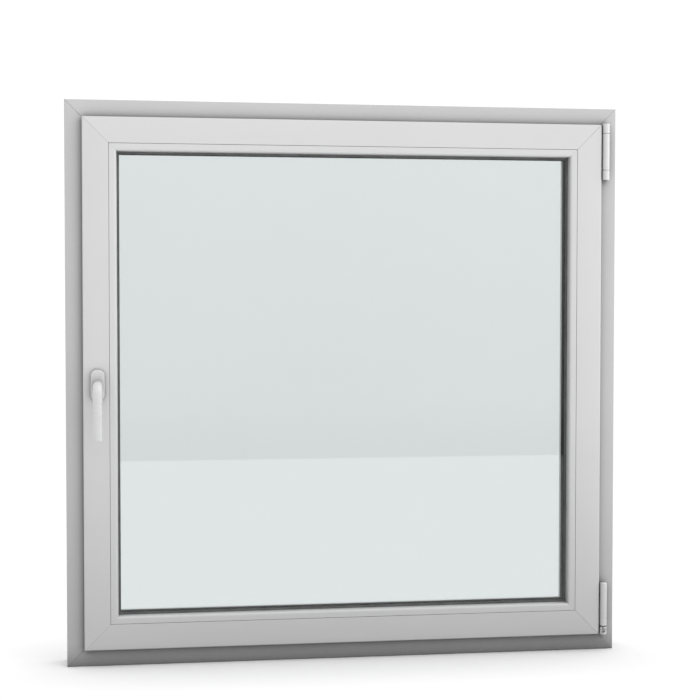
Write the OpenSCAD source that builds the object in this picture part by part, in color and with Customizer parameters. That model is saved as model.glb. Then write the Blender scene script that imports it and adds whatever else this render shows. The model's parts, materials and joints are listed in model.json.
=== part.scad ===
// Tilt-and-turn window: fixed frame, inward-opening double-glazed sash, handle and perimeter gear.
// +Z is up, the room side faces -Y and the hinges are on the +X side.
// The origin is the middle of the frame's bottom face.

/* [Window] */
// Overall width of the fixed frame
window_w = 1200; // [900:10:1500]
// Overall height of the fixed frame
window_h = 1200; // [900:10:1500]

/* [Frame profile] */
// Depth of the frame from the room face to the weather face
frame_depth = 70; // [64:1:86]
// Face width of the frame's room side, from the outer edge to the rebate
frame_face_w = 44.5; // [40:0.5:54]
// Height of the weather-side lip above the rebate
frame_lip_h = 23.5; // [18:0.5:30]
// Thickness of the weather-side lip
frame_lip_t = 13.5; // [12:0.5:16]
// Thickness of the outer plastic walls
pvc_wall = 2.8; // [2:0.1:3.2]

/* [Sash profile] */
// Distance that the sash face stands in front of the frame face
sash_proud = 17; // [15:0.5:20]
// Overlap of the sash flange on the frame
sash_overlap = 8; // [6:0.5:10]
// Air space between the sash and the frame's rebate
rebate_air = 12; // [11.5:0.1:13]
// Width of the sash face from its outer edge to the glazing bead
sash_face_w = 55; // [50:0.5:70]
// Height of the sash's weather-side lip above the glazing rebate
sash_lip_h = 20; // [17:0.5:24]
// Gap that each sealing gasket closes
seal_gap = 3.5; // [3.4:0.1:4]
// Radius of the sash's rounded outer edge
sash_edge_r = 2.5; // [1:0.5:4]

/* [Glazing] */
// Thickness of each glass pane
glass_t = 4; // [3:1:6]
// Width of the sealed cavity between the panes
cavity_t = 16; // [10:1:16]
// Visible width of the glazing beads
bead_w = 16.5; // [14:0.5:20]
// Width of dark gasket that shows beyond the bead
gasket_show = 5.6; // [3:0.1:6]
// Thickness of the weather-side glazing gasket
outer_gasket_t = 4; // [3:0.5:5]
// Thickness of the room-side glazing gasket
inner_gasket_t = 3.5; // [3:0.5:5]
// Clearance from the glass edge to the bottom of its rebate
glass_edge_gap = 5; // [4:0.5:7]

/* [Handle] */
// Height of the handle above the bottom of the window
handle_z = 600; // [450:5:800]
// Distance from the sash's groove face to the handle spindle
backset = 10.5; // [10.5:0.5:16]
// Width of the rosette
rosette_w = 30; // [28:0.5:36]
// Height of the rosette
rosette_h = 66; // [62:0.5:75]
// Distance that the rosette stands out from the sash
rosette_t = 10; // [9:0.5:14]
// Distance from the sash to the outer side of the grip
handle_reach = 62; // [52:1:75]
// Distance from the spindle to the tip of the grip
lever_len = 115; // [100:1:140]
// Width of the grip
grip_w = 20; // [16:0.5:24]
// Thickness of the grip
grip_t = 13; // [10:0.5:16]
// Width across the flats of the square spindle
spindle_w = 7; // [6:1:8]
// Distance between the two rosette screws
rosette_screw_pitch = 43; // [40:1:44]

/* [Hinges] */
// Distance from the frame's outer edge to the hinge axis
hinge_inset = 26.5; // [25.5:0.5:28]
// Distance of the hinge axis in front of the frame face
hinge_proud = 14; // [13.5:0.5:16]
// Outer radius of the hinge covers
hinge_r = 8; // [7.5:0.5:8]
// Radius of the hinge pins
pin_r = 3.5; // [3:0.5:4]
// Length of the stay arm's barrel
stay_barrel_h = 80; // [60:1:100]
// Height of each ear of the stay bearing
stay_ear_h = 21; // [16:1:26]
// Length of the lower hinge's barrel
corner_barrel_h = 92; // [70:1:120]
// Length of the stay arm from its axis to its slider
stay_len = 450; // [360:10:500]

/* [Perimeter gear] */
// Radius of the locking cams
cam_r = 5.5; // [4.5:0.5:6]
// Distance from the top and bottom of the window to the nearest lock-side cam
side_cam_inset = 330; // [280:10:360]
// Distance from the lock side of the window to the top and bottom cams
end_cam_inset = 230; // [200:10:280]
// Distance from the hinge side of the window to the end of the bottom rod
bottom_rod_inset = 300; // [260:10:400]
// Diameter of the holes for the wall fixing screws
fixing_hole_d = 7.5; // [6:0.5:10]
// Distance of the wall fixings from the top and bottom of the frame
fixing_inset = 150; // [120:10:200]
// Distance from each end of the sill to the middle of its drain cap
drain_inset = 300; // [200:10:350]

/* [Hidden] */
$fn = 48;
web = 1.5;
fit = 0.3;
run = 0.05;
cut = 0.5;
half_w = window_w / 2;
half_h = window_h / 2;

// Depths along Y, from the room side to the weather side
frame_room_y = -frame_depth / 2;
frame_weather_y = frame_depth / 2;
frame_lip_y = frame_weather_y - frame_lip_t;
sash_room_y = frame_room_y - sash_proud;
flange_back_y = frame_room_y - seal_gap;
sash_weather_y = frame_lip_y - seal_gap;
groove_offset = 13;
groove_y = flange_back_y + groove_offset;

// Distances inward from the frame's outer edge
rebate_u = frame_face_w;
frame_lip_u = rebate_u + frame_lip_h;
sash_edge_u = rebate_u - sash_overlap;
groove_u = rebate_u + rebate_air;
bead_u = sash_edge_u + sash_face_w;
sash_lip_u = bead_u + sash_lip_h;
bead_top_u = bead_u + bead_w;
sight_u = bead_top_u + gasket_show;
glass_u = bead_u + glass_edge_gap;

// Glass unit along Y
inner_glass_depth = 21.5;
inner_glass_y = sash_room_y + inner_glass_depth;
outer_glass_y = inner_glass_y + glass_t + cavity_t;
glass_back_y = outer_glass_y + glass_t;
sash_lip_y = glass_back_y + outer_gasket_t;
bead_back_y = inner_glass_y - inner_gasket_t;

// Groove in the sash edge for the gear
plate_t = 2;
plate_w = 16;
gear_chamber_w = 12;
gear_chamber_d = 11.5;
plate_u = groove_u + plate_t;
rod_t = 2.5;
rod_w = 10;
rod_u = plate_u + fit;

// Spindle, pinion, case and the screws through it
hub_r = 5.8;
handle_screw_r = 2.5;
handle_head_r = 4.5;
handle_head_t = 2.5;
pinion_r = 7.5;
pinion_teeth = 15;
spindle_x = -half_w + groove_u + backset;
tooth_add = 0.7;
tooth_ded = 1;
gear_t = 7.6;
case_wall = 1.7;
case_w = gear_t + 2 * fit + 2 * case_wall;
case_half_h = 30;
rack_pitch_u = groove_u + backset + pinion_r;
rack_back = 5;
rod_travel = pinion_r * PI;
crank_h = 6;
case_back_u = rack_pitch_u + rack_back + fit + case_wall;

// Hinge axis
axis_x = half_w - hinge_inset;
axis_y = frame_room_y - hinge_proud;
cover_wall = 1.2;
knuckle_r = hinge_r - cover_wall - 0.2;
leaf_t = 2.8;
leaf_y = frame_room_y - 0.4 - leaf_t;
groove_x = half_w - groove_u;
tilt_z = sash_edge_u + 6.5;
cup_top_z = tilt_z + 10.5;
corner_barrel_z = cup_top_z + 2.5;
stay_top_z = window_h - sash_edge_u + 2.5;
stay_barrel_z = stay_top_z - stay_ear_h - 0.6 - stay_barrel_h;
stay_base_z = stay_barrel_z - 0.6 - stay_ear_h;
arm_t = 3;
arm_z = window_h - groove_u + 3;
arm_w = 14;
arm_root_x = half_w - rebate_u - 1.5;

// Names of the four sides, and the frame that each one works in:
// X runs along the side, Z points inward from the frame's outer edge
BOTTOM = 0;
HINGE = 1;
TOP = 2;
LOCK = 3;
function side_length(side) = side % 2 == 0 ? window_w : window_h;
function side_half(side) = side % 2 == 0 ? half_h : half_w;

module on_side(side) {
    translate([0, 0, half_h])
        rotate([0, -90 * side, 0])
            translate([0, 0, -side_half(side)])
                children();
}

// Points of an arc in the (y, u) plane
function arc(c, r, from, to, steps = 6) =
    [for (i = [0 : steps]) let (a = from + (to - from) * i / steps) c + r * [cos(a), sin(a)]];

// A straight length of profile along X, from its outline in (y, u)
module bar(length) {
    rotate([90, 0, 90])
        linear_extrude(length, center = true)
            children();
}

// The wedge that a rail's mitred ends leave
module mitre(side) {
    long = side_length(side) / 2;
    reach = 150;
    rotate([90, 0, 0])
        linear_extrude(300, center = true)
            polygon([[-long, 0], [long, 0], [long - reach, reach], [reach - long, reach]]);
}

// One mitred rail on a side of the window
module rail(side) {
    on_side(side)
        intersection() {
            bar(side_length(side))
                children();
            mitre(side);
        }
}

// Rectangle in (y, u)
module block(y0, u0, y1, u1) {
    translate([y0, u0])
        square([y1 - y0, u1 - u0]);
}

// Screws that hold the hardware: striker screws, and smaller ones behind the hinges
striker_screw_r = 1.9;
striker_screw_l = 11;
striker_head_r = 3.5;
striker_head_t = 1.8;
hinge_screw_r = 1.7;
bearing_screw_l = 13;
bearing_head_r = 1.9;
leaf_head_r = 3.2;
leaf_head_t = 1.5;

// Screw along -Z with the underside of its head at the origin
module screw(r, length, head_r, head_t) {
    cylinder(r = head_r, h = head_t);
    translate([0, 0, -length])
        cylinder(r = r, h = length);
}

// Room for that screw, larger all round
module screw_hole(r, length, head_r, head_t) {
    translate([0, 0, -fit])
        cylinder(r = head_r + fit, h = head_t + fit + 20);
    translate([0, 0, -length - 1])
        cylinder(r = r + 0.1, h = length + 1);
}

// ---------- Fixed frame ----------

clip_d = 4;
clip_w = 9;
clip_y = 17;
frame_chamber_u = clip_d + pvc_wall;
front_chamber_t = 5;
steel_t = 1.5;
steel_y0 = frame_room_y + pvc_wall + front_chamber_t + web;
steel_y1 = frame_lip_y - 6.5;
steel_u1 = rebate_u - pvc_wall;

module frame_outline() {
    bevel = 3;
    difference() {
        polygon(concat(
            arc([frame_room_y + 1.5, 1.5], 1.5, 270, 180),
            arc([frame_room_y + 1.5, rebate_u - 1.5], 1.5, 180, 90),
            [[frame_lip_y, rebate_u], [frame_lip_y, frame_lip_u - bevel], [frame_lip_y + bevel, frame_lip_u],
             [frame_weather_y, frame_lip_u - bevel], [frame_weather_y, 0]]));
        for (y = [-clip_y, clip_y])
            block(y - clip_w / 2, -1, y + clip_w / 2, clip_d);
        block(frame_room_y + pvc_wall, frame_chamber_u, steel_y0 - web, steel_u1);
        block(steel_y0, frame_chamber_u, steel_y1, steel_u1);
        block(steel_y1 + web, frame_chamber_u, frame_weather_y - pvc_wall, steel_u1);
        block(frame_lip_y + pvc_wall, rebate_u, frame_weather_y - pvc_wall, frame_lip_u - 6);
    }
}

module fixing_holes(side) {
    on_side(side)
        for (x = [-1, 1])
            translate([x * (half_h - fixing_inset), 0, -1])
                cylinder(d = fixing_hole_d, h = rebate_u + 2);
}

module hardware_screw_holes() {
    striker_screws_at()
        screw_hole(striker_screw_r, striker_screw_l + 1, striker_head_r, striker_head_t);
    bearing_screws_at()
        screw_hole(hinge_screw_r + 0.2, bearing_screw_l + 1, leaf_head_r, 2);
}

module frame_rail(side) {
    difference() {
        rail(side)
            frame_outline();
        hardware_screw_holes();
        if (side == HINGE || side == LOCK)
            fixing_holes(side);
    }
}

module frame_sill() {
    color("gainsboro") frame_rail(BOTTOM);
}

module frame_jamb_right() {
    color("gainsboro") frame_rail(HINGE);
}

module frame_head() {
    color("gainsboro") frame_rail(TOP);
}

module frame_jamb_left() {
    color("gainsboro") frame_rail(LOCK);
}

// Hollow steel bar that fills a chamber, cut square and short of the corners
module steel_bar(side, y0, u0, y1, u1, end_gap) {
    on_side(side)
        bar(side_length(side) - 2 * end_gap)
            difference() {
                block(y0 + fit, u0 + fit, y1 - fit, u1 - fit);
                block(y0 + fit + steel_t, u0 + fit + steel_t, y1 - fit - steel_t, u1 - fit - steel_t);
            }
}

module frame_steel() {
    color("silver")
        difference() {
            for (side = [BOTTOM : LOCK])
                steel_bar(side, steel_y0, frame_chamber_u, steel_y1, steel_u1, frame_lip_u);
            hardware_screw_holes();
            fixing_holes(HINGE);
            fixing_holes(LOCK);
        }
}

// Sealing strip with a rounded nose, from its seat at y0 towards y1
module seal_strip(side, y0, y1, u0, u1) {
    mid = (u0 + u1) / 2;
    rail(side)
        polygon([[y0, u0], [(y0 + y1) / 2, u0 + 0.6], [y1, mid - 1], [y1, mid + 1],
                 [(y0 + y1) / 2, u1 - 0.6], [y0, u1]]);
}

module frame_gasket() {
    color("dimgray")
        for (side = [BOTTOM : LOCK])
            seal_strip(side, frame_lip_y, sash_weather_y + cut, groove_u + 2, groove_u + 7.5);
}

module drain_caps() {
    cap_w = 40;
    cap_h = 12;
    cap_t = 4;
    cap_z = 16;
    color("gainsboro")
        for (x = [-1, 1])
            translate([x * (half_w - drain_inset) - cap_w / 2, frame_weather_y, cap_z])
                cube([cap_w, cap_t, cap_h]);
}

// ---------- Strikers on the frame's rebate ----------

striker_l = 70;
striker_w = 18;
striker_t = 2.5;
lip_h = 2;
cam_clear = 1;
cam_tip_u = rebate_u + striker_t + lip_h + cam_clear;
side_cam_x = half_h - side_cam_inset;
end_cam_x = half_w - end_cam_inset;
// Rest place of each cam along its side, and the way that it travels there
lock_cams = [-side_cam_x, side_cam_x];
top_cams = [end_cam_x];
bottom_cams = [-end_cam_x];

module striker_places() {
    on_side(LOCK)
        for (x = lock_cams)
            translate([x - rod_travel / 2, groove_y, rebate_u])
                children();
    on_side(TOP)
        for (x = top_cams)
            translate([x - rod_travel / 2, groove_y, rebate_u])
                children();
}

module tilt_keeper_place() {
    on_side(BOTTOM)
        for (x = bottom_cams)
            translate([x - rod_travel / 2, groove_y, rebate_u])
                children();
}

// The two screws of one striker
module screw_pair() {
    for (x = [-1, 1])
        translate([x * (striker_l / 2 - 6), 0, striker_t - striker_head_t])
            children();
}

module striker_screws_at() {
    striker_places()
        screw_pair()
            children();
    tilt_keeper_place()
        screw_pair()
            children();
}

module striker(lip_l) {
    difference() {
        union() {
            translate([-striker_l / 2, -striker_w / 2, 0])
                cube([striker_l, striker_w, striker_t]);
            for (y = [-striker_w / 2, striker_w / 2 - 2.5])
                translate([-lip_l / 2, y, striker_t])
                    cube([lip_l, 2.5, lip_h]);
        }
        screw_pair()
            screw_hole(striker_screw_r, striker_screw_l + 1, striker_head_r, striker_head_t);
    }
}

module strikers() {
    color("silver") striker_places() striker(42);
}

module tilt_keeper() {
    color("silver") tilt_keeper_place() striker(58);
}

module striker_screws() {
    color("gray")
        striker_screws_at()
            screw(striker_screw_r, striker_screw_l, striker_head_r, striker_head_t);
}

// ---------- Hinge bearings on the frame ----------

module at_axis(z) {
    translate([axis_x, axis_y, z])
        children();
}

plate_gap_x = 1;
bearing_plate_t = 3;
bearing_screw_x = 3.5;

module bearing_screws_at() {
    for (z = [stay_barrel_z + 15, stay_barrel_z + stay_barrel_h - 15])
        translate([axis_x + bearing_screw_x, frame_room_y - bearing_plate_t + 1.2, z])
            rotate([90, 0, 0])
                children();
}

// Ear that carries one end of the stay pin
module stay_ear(z) {
    ear_h = stay_ear_h - cover_wall - 0.2;
    at_axis(z) {
        cylinder(r = knuckle_r, h = ear_h);
        translate([-knuckle_r, 0, 0])
            cube([2 * knuckle_r, hinge_proud, ear_h]);
    }
}

module stay_bearing() {
    low_ear_top = stay_base_z + stay_ear_h;
    color("silver")
        difference() {
            union() {
                at_axis(low_ear_top - 1)
                    translate([plate_gap_x, hinge_proud - bearing_plate_t, 0])
                        cube([knuckle_r - plate_gap_x - 0.6, bearing_plate_t - 0.1,
                              stay_top_z - stay_ear_h - low_ear_top + 2]);
                stay_ear(stay_base_z + cover_wall + 0.2);
                stay_ear(stay_top_z - stay_ear_h);
            }
            bearing_screws_at()
                screw_hole(hinge_screw_r + 0.2, bearing_screw_l + 1, bearing_head_r, 2);
            at_axis(stay_base_z - 1)
                cylinder(r = pin_r + run, h = stay_top_z - stay_base_z + 2);
        }
}

module bearing_screws() {
    color("gray") bearing_screws_at() screw(hinge_screw_r, bearing_screw_l, bearing_head_r, 1);
}

// Cap over a stay ear, closed at its outer end
module ear_cap(z, closed_top) {
    at_axis(z)
        difference() {
            union() {
                cylinder(r = hinge_r, h = stay_ear_h);
                translate([-hinge_r, 0, 0])
                    cube([2 * hinge_r, hinge_proud - 0.4, stay_ear_h]);
            }
            translate([0, 0, closed_top ? -1 : cover_wall]) {
                cylinder(r = knuckle_r + 0.1, h = stay_ear_h - cover_wall + 1);
                translate([-knuckle_r - 0.1, 0, 0])
                    cube([2 * knuckle_r + 0.2, hinge_proud, stay_ear_h - cover_wall + 1]);
            }
        }
}

module stay_bearing_caps() {
    color("whitesmoke") {
        ear_cap(stay_top_z - stay_ear_h, true);
        ear_cap(stay_base_z, false);
    }
}

cup_r = 5.3;
ball_r = 5;

module pivot_bearing() {
    height = cup_top_z - sash_edge_u + 0.3;
    color("whitesmoke")
        at_axis(cup_top_z - height)
            difference() {
                union() {
                    cylinder(r = hinge_r, h = height);
                    translate([-hinge_r, 0, 0])
                        cube([2 * hinge_r, hinge_proud, height]);
                }
                translate([0, 0, tilt_z - cup_top_z + height - ball_r - fit])
                    cylinder(r = cup_r, h = height);
                // J-shaped relief on the front
                translate([-2.6, -hinge_r - 1, height - 9])
                    cube([1.2, 2, 10]);
                translate([0.4, -hinge_r + 1, height - 9])
                    rotate([90, 0, 0])
                        difference() {
                            cylinder(r = 3, h = 2);
                            cylinder(r = 1.8, h = 5, center = true);
                            translate([-4, 0, -1])
                                cube([8, 4, 4]);
                        }
                translate([2.2, -hinge_r - 1, height - 9])
                    cube([1.2, 2, 3]);
            }
}

// ---------- Pivot post: a ball below, the lower hinge's pin above ----------

module pivot_post() {
    color("silver")
        at_axis(0) {
            translate([0, 0, tilt_z])
                sphere(r = ball_r);
            translate([0, 0, tilt_z])
                cylinder(r = pin_r, h = corner_barrel_z + corner_barrel_h - cover_wall - 1.5 - tilt_z);
        }
}

// ---------- Sash ----------

sash_chamber_u = groove_u + plate_t + gear_chamber_d + 2.5;
sash_steel_y1 = sash_lip_y + 10;

module sash_outline() {
    bevel = 5;
    chamber_y = gear_chamber_w / 2;
    difference() {
        polygon(concat(
            [[sash_room_y, bead_u]],
            arc([sash_room_y + sash_edge_r, sash_edge_u + sash_edge_r], sash_edge_r, 180, 270),
            [[flange_back_y, sash_edge_u], [flange_back_y, groove_u],
             [groove_y - plate_w / 2, groove_u], [groove_y - plate_w / 2, plate_u],
             [groove_y - chamber_y, plate_u], [groove_y - chamber_y, plate_u + gear_chamber_d],
             [groove_y + chamber_y, plate_u + gear_chamber_d], [groove_y + chamber_y, plate_u],
             [groove_y + plate_w / 2, plate_u], [groove_y + plate_w / 2, groove_u],
             [sash_weather_y, groove_u], [sash_weather_y, sash_lip_u - bevel],
             [sash_weather_y - bevel, sash_lip_u], [sash_lip_y, sash_lip_u], [sash_lip_y, bead_u]]));
        block(sash_room_y + pvc_wall, sash_edge_u + 5, flange_back_y - pvc_wall, bead_u - pvc_wall);
        block(flange_back_y, sash_chamber_u, sash_steel_y1, bead_u - pvc_wall);
        block(groove_y + chamber_y + 3, groove_u + pvc_wall, sash_weather_y - pvc_wall, sash_chamber_u - web);
        block(sash_lip_y + pvc_wall, bead_u, sash_weather_y - pvc_wall, sash_lip_u - 6);
    }
}

module sash_bottom() {
    color("white") rail(BOTTOM) sash_outline();
}

module sash_right() {
    color("white") rail(HINGE) sash_outline();
}

module sash_top() {
    color("white") rail(TOP) sash_outline();
}

module at_spindle() {
    translate([spindle_x, 0, handle_z])
        children();
}

// Space milled for the gear case, its cranks and the handle's fastenings
module handle_cut() {
    crank_room = rod_travel + crank_h + 3;
    at_spindle() {
        translate([rod_u - half_w - spindle_x, groove_y - case_w / 2 - 0.2, -case_half_h - crank_room])
            cube([case_back_u - rod_u + 0.2, case_w + 0.4, 2 * (case_half_h + crank_room)]);
        translate([0, groove_y, 0])
            rotate([90, 0, 0])
                cylinder(r = 6, h = 60);
        for (z = [-1, 1])
            translate([0, groove_y, z * rosette_screw_pitch / 2])
                rotate([90, 0, 0])
                    cylinder(r = 5, h = 60);
    }
}

module sash_left() {
    color("white")
        difference() {
            rail(LOCK)
                sash_outline();
            handle_cut();
        }
}

module sash_steel() {
    color("silver")
        difference() {
            for (side = [BOTTOM : LOCK])
                steel_bar(side, flange_back_y, sash_chamber_u, sash_steel_y1, bead_u - pvc_wall, sash_lip_u + 10);
            handle_cut();
        }
}

module sash_gasket() {
    color("dimgray")
        difference() {
            for (side = [BOTTOM : LOCK])
                seal_strip(side, flange_back_y, frame_room_y - cut, sash_edge_u + 1.5, sash_edge_u + 6.5);
            translate([axis_x - 30, -100, corner_barrel_z - 20])
                cube([40, 100, corner_barrel_h + 22]);
            translate([axis_x - 30, -100, stay_barrel_z - 2])
                cube([40, 100, stay_barrel_h + 8]);
        }
}

// ---------- Glazing ----------

module bead_outline() {
    nose_r = 6;
    show = bead_w - nose_r;
    difference() {
        polygon(concat(
            [[bead_back_y, bead_u + fit], [sash_room_y, bead_u + 2 * fit]],
            arc([sash_room_y + nose_r, bead_u + show], nose_r, 180, 90),
            [[bead_back_y, bead_top_u + 0.5]]));
        block(sash_room_y + 3, bead_u + 3, bead_back_y - 3, bead_top_u - 5);
    }
}

module bead_bottom() {
    color("white") rail(BOTTOM) bead_outline();
}

module bead_right() {
    color("white") rail(HINGE) bead_outline();
}

module bead_top() {
    color("white") rail(TOP) bead_outline();
}

module bead_left() {
    color("white") rail(LOCK) bead_outline();
}

module glazing_gasket_inner() {
    color("dimgray")
        for (side = [BOTTOM : LOCK])
            rail(side)
                polygon([[bead_back_y, bead_top_u - 4], [bead_back_y, bead_top_u + 0.5],
                         [bead_back_y + 1, sight_u - 1], [inner_glass_y, sight_u],
                         [inner_glass_y, bead_top_u - 4]]);
}

module glazing_gasket_outer() {
    color("dimgray")
        for (side = [BOTTOM : LOCK])
            rail(side)
                polygon([[glass_back_y, sash_lip_u - 6], [glass_back_y, sight_u],
                         [sash_lip_y, sash_lip_u], [sash_lip_y, sash_lip_u - 6]]);
}

module pane(y) {
    translate([glass_u - half_w, y, glass_u])
        cube([window_w - 2 * glass_u, glass_t, window_h - 2 * glass_u]);
}

module glass_inner() {
    color("lightcyan", 0.4) pane(inner_glass_y);
}

module glass_outer() {
    color("lightcyan", 0.4) pane(outer_glass_y);
}

edge_seal_w = 4;
spacer_w = 6.5;

module edge_seal() {
    color("black")
        for (side = [BOTTOM : LOCK])
            rail(side)
                block(inner_glass_y + glass_t, glass_u, outer_glass_y, glass_u + edge_seal_w);
}

module spacer_bar() {
    color("lightgray")
        for (side = [BOTTOM : LOCK])
            rail(side)
                block(inner_glass_y + glass_t, glass_u + edge_seal_w, outer_glass_y,
                      glass_u + edge_seal_w + spacer_w);
}

module setting_blocks() {
    block_l = 100;
    from_corner = 180;
    color("steelblue")
        for (side = [BOTTOM, HINGE, LOCK], x = [-1, 1])
            on_side(side)
                translate([x * (side_length(side) / 2 - from_corner) - block_l / 2, inner_glass_y, bead_u])
                    cube([block_l, glass_back_y - inner_glass_y, glass_edge_gap]);
}

// ---------- Perimeter gear in the sash groove ----------

corner_leg = 90;
plate_end = groove_u + corner_leg;
guide_l = 330;
guide_x0 = 60;
corner_band_l = 110;
slot_w = 7;

// Slot along X through the faceplate that a cam travels in, from x towards the travel's end
module cam_slot(x, travel) {
    for (end = [x, x + travel])
        translate([end, groove_y, groove_u - 1])
            cylinder(d = slot_w, h = 10);
    translate([min(x, x + travel), groove_y - slot_w / 2, groove_u - 1])
        cube([abs(travel), slot_w, 10]);
}

// Faceplate along one side, between two places on it
module faceplate(side, x0, x1, cams) {
    on_side(side)
        difference() {
            translate([x0, groove_y - plate_w / 2, groove_u])
                cube([x1 - x0, plate_w, plate_t]);
            for (x = cams)
                cam_slot(x, -rod_travel);
        }
}

module faceplate_lock() {
    color("silver") faceplate(LOCK, plate_end - half_h, half_h - plate_end, lock_cams);
}

module faceplate_top() {
    color("silver") faceplate(TOP, -guide_x0, half_w - plate_end, top_cams);
}

module faceplate_bottom() {
    color("silver") faceplate(BOTTOM, plate_end - half_w, half_w - groove_u - corner_band_l - 60, bottom_cams);
}

module corner_leg_plate(side, sign) {
    on_side(side)
        translate([sign > 0 ? side_length(side) / 2 - plate_end : groove_u - side_length(side) / 2,
                   groove_y - plate_w / 2, groove_u])
            cube([corner_leg, plate_w, plate_t]);
}

module corner_drives() {
    color("silver") {
        corner_leg_plate(LOCK, -1);
        corner_leg_plate(TOP, 1);
        corner_leg_plate(LOCK, 1);
        corner_leg_plate(BOTTOM, -1);
    }
}

// Rod under the faceplate, with its cams outside it
module drive_rod(side, x0, x1) {
    on_side(side)
        translate([x0, groove_y - rod_w / 2, rod_u])
            cube([x1 - x0, rod_w, rod_t]);
}

module cams(side, places) {
    on_side(side)
        for (x = places) {
            translate([x, groove_y, cam_tip_u])
                cylinder(r = cam_r, h = groove_u - 0.6 - cam_tip_u);
            translate([x, groove_y, cam_tip_u])
                cylinder(r = 3, h = rod_u - cam_tip_u);
        }
}

// The rack runs on the far side of the pinion, so a crank at each end joins it to the rod
module rack() {
    pitch = 2 * PI * pinion_r / pinion_teeth;
    teeth = 11;
    first = -9;
    flank = tan(20);
    half_tooth = pitch / 4 - 0.15;
    module tooth() {
        polygon([[0.01 + tooth_ded, half_tooth + tooth_ded * flank], [-tooth_add, half_tooth - tooth_add * flank],
                 [-tooth_add, tooth_add * flank - half_tooth], [0.01 + tooth_ded, -half_tooth - tooth_ded * flank]]);
    }
    translate([rack_pitch_u - half_w, groove_y + gear_t / 2, handle_z])
        rotate([90, 0, 0])
            linear_extrude(gear_t)
                union() {
                    for (i = [first : first + teeth - 1])
                        translate([0, (i + 0.5) * pitch])
                            tooth();
                    translate([tooth_ded, -case_half_h - rod_travel - crank_h - 1])
                        square([rack_back - tooth_ded, 2 * case_half_h + rod_travel + 2 * crank_h + 2]);
                }
}

module drive_rod_lock() {
    crank_low = handle_z - case_half_h - rod_travel - crank_h - 1;
    crank_high = handle_z + case_half_h + 1;
    color("lightgray")
        union() {
            drive_rod(LOCK, plate_end - half_h, half_h - crank_high);
            drive_rod(LOCK, half_h - crank_low - crank_h, half_h - plate_end - rod_travel);
            for (z = [crank_low, crank_high])
                translate([rod_u - half_w, groove_y - gear_t / 2, z])
                    cube([rack_pitch_u + rack_back - rod_u, gear_t, crank_h]);
            rack();
        }
}

module lock_side_cams() {
    color("gray") cams(LOCK, lock_cams);
}

module drive_rod_top() {
    color("lightgray") drive_rod(TOP, 10 - guide_x0 + rod_travel, half_w - plate_end);
}

module top_cam() {
    color("gray") cams(TOP, top_cams);
}

module drive_rod_bottom() {
    color("lightgray") drive_rod(BOTTOM, plate_end - half_w + rod_travel - corner_leg / 3, half_w - bottom_rod_inset);
}

module bottom_cam() {
    color("gray") cams(BOTTOM, bottom_cams);
}

module gear_case() {
    wall_u = rod_u - half_w - spindle_x;
    depth = case_back_u - rod_u;
    color("darkgray")
        at_spindle()
            difference() {
                translate([wall_u, groove_y - case_w / 2, -case_half_h])
                    cube([depth, case_w, 2 * case_half_h]);
                translate([wall_u - 1, groove_y - gear_t / 2 - fit, -pinion_r - tooth_add - 1])
                    cube([depth - case_wall + 1, gear_t + 2 * fit, 2 * (pinion_r + tooth_add + 1)]);
                translate([rack_pitch_u - half_w - spindle_x - tooth_add - fit, groove_y - gear_t / 2 - fit,
                           -case_half_h - 1])
                    cube([rack_back + tooth_add + 2 * fit, gear_t + 2 * fit, 2 * case_half_h + 2]);
                translate([0, groove_y + case_w, 0])
                    rotate([90, 0, 0])
                        cylinder(r = hub_r + run, h = 3 * case_w);
                for (z = [-1, 1])
                    translate([0, groove_y + case_w, z * rosette_screw_pitch / 2])
                        rotate([90, 0, 0])
                            cylinder(r = handle_screw_r + 0.1, h = 3 * case_w);
            }
}

// Involute flank point at unwinding angle a, on base radius r
function involute(r, a) = r * [cos(a) + a * PI / 180 * sin(a), sin(a) - a * PI / 180 * cos(a)];
function turned(p, a) = [p.x * cos(a) - p.y * sin(a), p.x * sin(a) + p.y * cos(a)];

module gear_pinion() {
    base_r = pinion_r * cos(20);
    out_r = pinion_r + tooth_add;
    root_r = pinion_r - tooth_ded;
    step = 360 / pinion_teeth;
    // Angle from a tooth's middle to where its flank leaves the base circle
    half = step / 4 + (tan(20) * 180 / PI - 20) - 1.2;
    out_a = sqrt(pow(out_r / base_r, 2) - 1) * 180 / PI;
    flank = [for (i = [0 : 5]) turned(involute(base_r, out_a * i / 5), -half)];
    tooth = concat([[root_r * cos(half), -root_r * sin(half)]], flank);
    outline = [for (k = [0 : pinion_teeth - 1])
        each concat(
            [for (p = tooth) turned(p, k * step)],
            [for (i = [len(tooth) - 1 : -1 : 0]) turned([tooth[i].x, -tooth[i].y], k * step)])];
    color("gray")
        at_spindle()
            difference() {
                union() {
                    translate([0, groove_y + gear_t / 2, 0])
                        rotate([90, 0, 0])
                            linear_extrude(gear_t)
                                polygon(outline);
                    translate([0, groove_y + case_w / 2, 0])
                        rotate([90, 0, 0])
                            cylinder(r = hub_r, h = case_w);
                }
                translate([-spindle_w / 2 - run, groove_y - case_w, -spindle_w / 2 - run])
                    cube([spindle_w + 2 * run, 2 * case_w, spindle_w + 2 * run]);
            }
}

// Guide for the stay's slider on top of the sash; its slot runs along X
guide_slot_w = 10;
slider_x = axis_x - stay_len;

module stay_guide() {
    slot_x0 = slider_x - 10;
    slot_l = 46;
    color("silver")
        difference() {
            translate([guide_x0 + 0.5, groove_y - plate_w / 2, window_h - plate_u])
                cube([guide_l, plate_w, plate_t]);
            translate([slot_x0, groove_y - guide_slot_w / 2, window_h - plate_u - 1])
                cube([slot_l, guide_slot_w, plate_t + 2]);
        }
}

// ---------- Lower hinge: band, cover and screws on the sash ----------

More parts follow.
